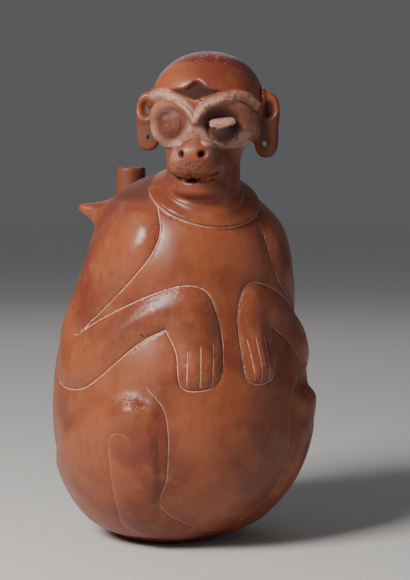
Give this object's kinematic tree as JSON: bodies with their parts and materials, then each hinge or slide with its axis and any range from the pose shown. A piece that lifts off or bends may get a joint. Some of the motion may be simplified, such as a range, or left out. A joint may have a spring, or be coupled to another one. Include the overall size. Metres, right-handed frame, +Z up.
{
  "type": "zoomorphic vessel",
  "caption": "Hollow fired-clay vessel in the form of a seated monkey, hands on its belly, with a tubular spout and a pointed lug behind the right shoulder.",
  "frame": {"origin": "on the flat underside, on the upright line through the middle of the belly", "axes": "+Z up; the body's front faces -Y; the monkey's right side is -X; the head is turned about 37 degrees towards -X"},
  "size_m": [0.1929, 0.1981, 0.3598],
  "materials": {
    "burnished_clay": "burnished reddish-brown fired clay, soft gloss"
  },
  "bodies": {
    "root": {"vessel": "burnished_clay"}
  },
  "joints": []
}
